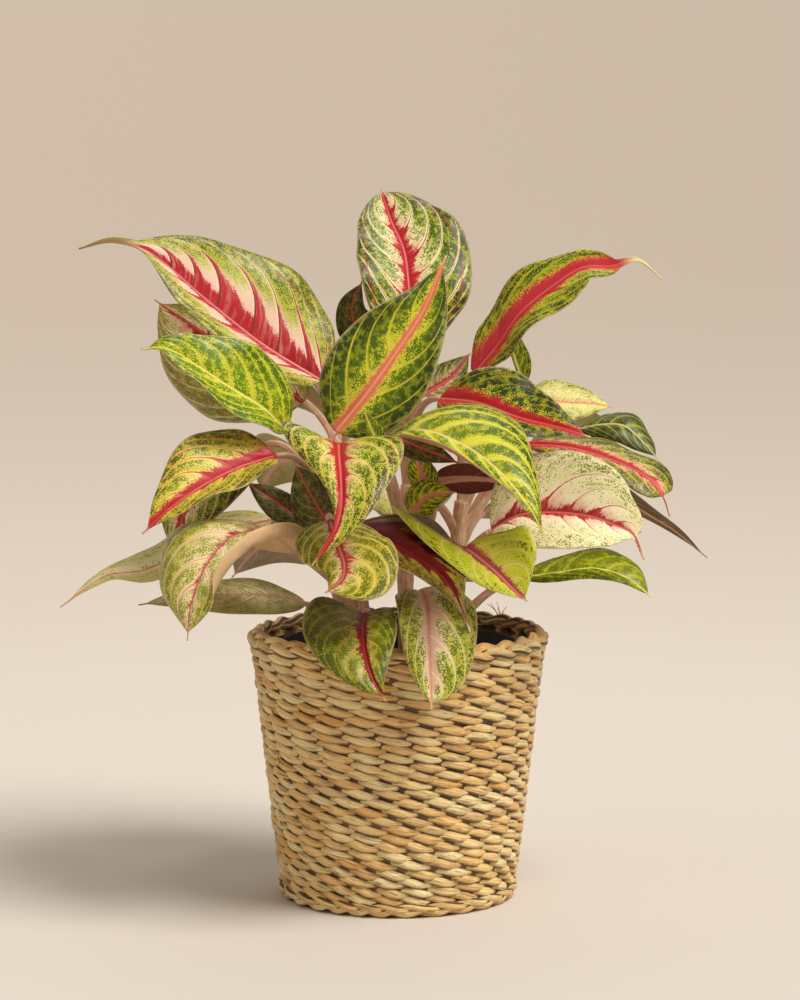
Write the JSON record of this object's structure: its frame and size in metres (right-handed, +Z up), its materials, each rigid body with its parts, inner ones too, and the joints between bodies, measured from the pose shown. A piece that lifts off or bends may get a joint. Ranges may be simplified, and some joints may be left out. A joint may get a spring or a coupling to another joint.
{
  "type": "potted siam violet chinese evergreen",
  "caption": "Bushy house plant with broad pink, cream and green patterned leaves, in a black pot inside a woven straw basket that rests on its flat base.",
  "frame": {"origin": "middle of the basket's flat underside, on the surface that it stands on", "axes": "+Z up, -Y towards the viewer of the picture, +X to the viewer's right"},
  "size_m": [0.5254, 0.3952, 0.5752],
  "materials": {
    "straw": "dry plaited water hyacinth or seagrass, matt, warm straw brown",
    "pot": "thin black injection moulded nursery pot",
    "soil": "dark crumbly peat and bark compost",
    "stem": "living stalks, smooth, pale pink cream",
    "pink": "living blade, satin, crimson midrib with pink veins, green speckled edge",
    "lime": "living blade, satin, lime and yellow green with darker speckles",
    "cream": "living blade, satin, cream with green mottling and crimson midrib",
    "green": "living blade, satin, mid green with pale veins",
    "red": "living blade, satin, dark red with olive patches",
    "olive": "living blade seen in shade or from its underside, dull olive brown"
  },
  "bodies": {
    "root": {"basket": "straw", "basket_border": "straw", "basket_foot": "straw", "nursery_pot": "pot", "soil": "soil", "shoot_west": "stem", "shoot_south_west": "stem", "shoot_south": "stem", "shoot_south_east": "stem", "shoot_east": "stem", "shoot_north": "stem", "shoot_north_west": "stem", "leaf_01_upper_left": "pink", "leaf_02_left_shaded": "pink", "leaf_03_left_young": "green", "leaf_04_top": "pink", "leaf_05_centre": "lime", "leaf_06_upper_right": "pink", "leaf_07_right_spike": "green", "leaf_08_right_dark": "red", "leaf_09_centre_arching": "lime", "leaf_10_front_hanging": "pink", "leaf_11_left_middle": "pink", "leaf_12_left_behind": "pink", "leaf_13_far_left_low": "red", "leaf_14_left_low_arch": "cream", "leaf_15_left_grey": "olive", "leaf_16_over_rim_left": "green", "leaf_17_over_rim_middle": "cream", "leaf_18_dark_red": "red", "leaf_19_front_lime": "lime", "leaf_20_right_cream": "cream", "leaf_21_right_pale": "cream", "leaf_22_right_drooping": "green", "leaf_23_right_hooked": "pink", "leaf_24_far_right_narrow": "olive", "leaf_25_right_low": "green", "leaf_26_curled_scrap": "green", "leaf_27_front_low": "lime", "leaf_28_left_inner": "olive", "leaf_29_inner_dark": "olive", "leaf_30_inner_red": "red", "leaf_31_back_brown": "olive", "leaf_32_inner_glossy": "pink", "leaf_33_inner_lime": "lime", "leaf_34_inner_upright": "lime", "leaf_35_inner_narrow": "olive", "leaf_36_back_left_high": "pink", "leaf_37_back_middle": "green", "leaf_38_back_right_high": "pink", "leaf_39_back_right_low": "lime", "leaf_40_back_left_middle": "lime", "leaf_41_back_low": "cream", "leaf_42_back_left_low": "green", "leaf_43_back_upper": "pink", "leaf_44_back_left_upper": "lime", "leaf_45_back_right_middle": "cream", "leaf_46_back_right_lowest": "green"}
  },
  "joints": []
}
